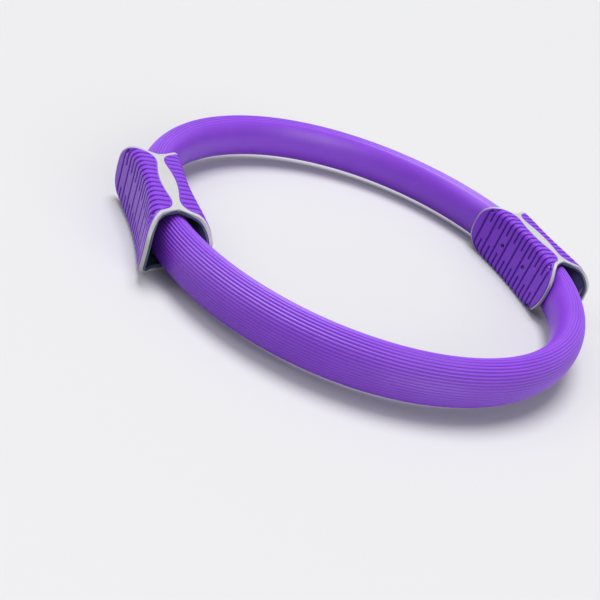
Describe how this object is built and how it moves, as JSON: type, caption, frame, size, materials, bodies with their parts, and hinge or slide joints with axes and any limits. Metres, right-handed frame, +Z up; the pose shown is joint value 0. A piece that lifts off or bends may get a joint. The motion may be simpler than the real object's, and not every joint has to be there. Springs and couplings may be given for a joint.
{
  "type": "pilates ring",
  "caption": "Flexible round exercise ring: flat spring strips in a foam sleeve, joined by opposite waisted hand grips with grooved rubber pads on their outer and inner faces.",
  "frame": {"origin": "centre of the ring, on the surface that it lies on", "axes": "+X through both grips towards the right grip, +Z up along the ring's axis, the front half of the hoop on the -Y side"},
  "size_m": [0.377, 0.3624, 0.0475],
  "materials": {
    "sleeve_foam": "matte",
    "pad_rubber": "satin",
    "shell_grey": "satin",
    "frame_dark": "matte",
    "spring_strip": "satin",
    "screw_steel": "satin",
    "collar_black": "matte"
  },
  "bodies": {
    "left_handle": {"left_outer_shell": "shell_grey", "left_inner_shell": "shell_grey", "left_outer_pad": "pad_rubber", "left_inner_pad": "pad_rubber", "left_inner_frame": "frame_dark", "left_shell_screws": "screw_steel", "left_front_stop_collar": "collar_black", "left_rear_stop_collar": "collar_black"},
    "right_handle": {"right_outer_shell": "shell_grey", "right_inner_shell": "shell_grey", "right_outer_pad": "pad_rubber", "right_inner_pad": "pad_rubber", "right_inner_frame": "frame_dark", "right_shell_screws": "screw_steel"},
    "front_bow": {"front_foam_sleeve": "sleeve_foam", "front_outer_spring_strip": "spring_strip", "front_inner_spring_strip": "spring_strip"},
    "front_bow_end": {"right_front_stop_collar": "collar_black"},
    "rear_bow": {"rear_foam_sleeve": "sleeve_foam", "rear_outer_spring_strip": "spring_strip", "rear_inner_spring_strip": "spring_strip"},
    "rear_bow_end": {"right_rear_stop_collar": "collar_black"}
  },
  "joints": [
    {"name": "squeeze", "type": "slide", "parent": "left_handle", "child": "right_handle", "axis": [-1, 0, 0], "range_m": [-0.02, 0.085], "stiffness_N_per_m": 1400},
    {"name": "front_bow_bend", "type": "slide", "parent": "left_handle", "child": "front_bow", "axis": [-0.7359, -0.6771, 0], "range_m": [-0.0137, 0.0579], "deforming": ["front_foam_sleeve", "front_outer_spring_strip", "front_inner_spring_strip"]},
    {"name": "front_bow_end_bend", "type": "slide", "parent": "front_bow", "child": "front_bow_end", "axis": [-0.7359, 0.6771, 0], "range_m": [-0.0137, 0.0579]},
    {"name": "rear_bow_bend", "type": "slide", "parent": "left_handle", "child": "rear_bow", "axis": [-0.7359, 0.6771, 0], "range_m": [-0.0137, 0.0579], "deforming": ["rear_foam_sleeve", "rear_outer_spring_strip", "rear_inner_spring_strip"]},
    {"name": "rear_bow_end_bend", "type": "slide", "parent": "rear_bow", "child": "rear_bow_end", "axis": [-0.7359, -0.6771, 0], "range_m": [-0.0137, 0.0579]}
  ],
  "couplings": [
    {"joint": "front_bow_bend", "follows": "squeeze", "ratio": 0.67941},
    {"joint": "front_bow_end_bend", "follows": "squeeze", "ratio": 0.67941},
    {"joint": "rear_bow_bend", "follows": "squeeze", "ratio": 0.67941},
    {"joint": "rear_bow_end_bend", "follows": "squeeze", "ratio": 0.67941}
  ]
}
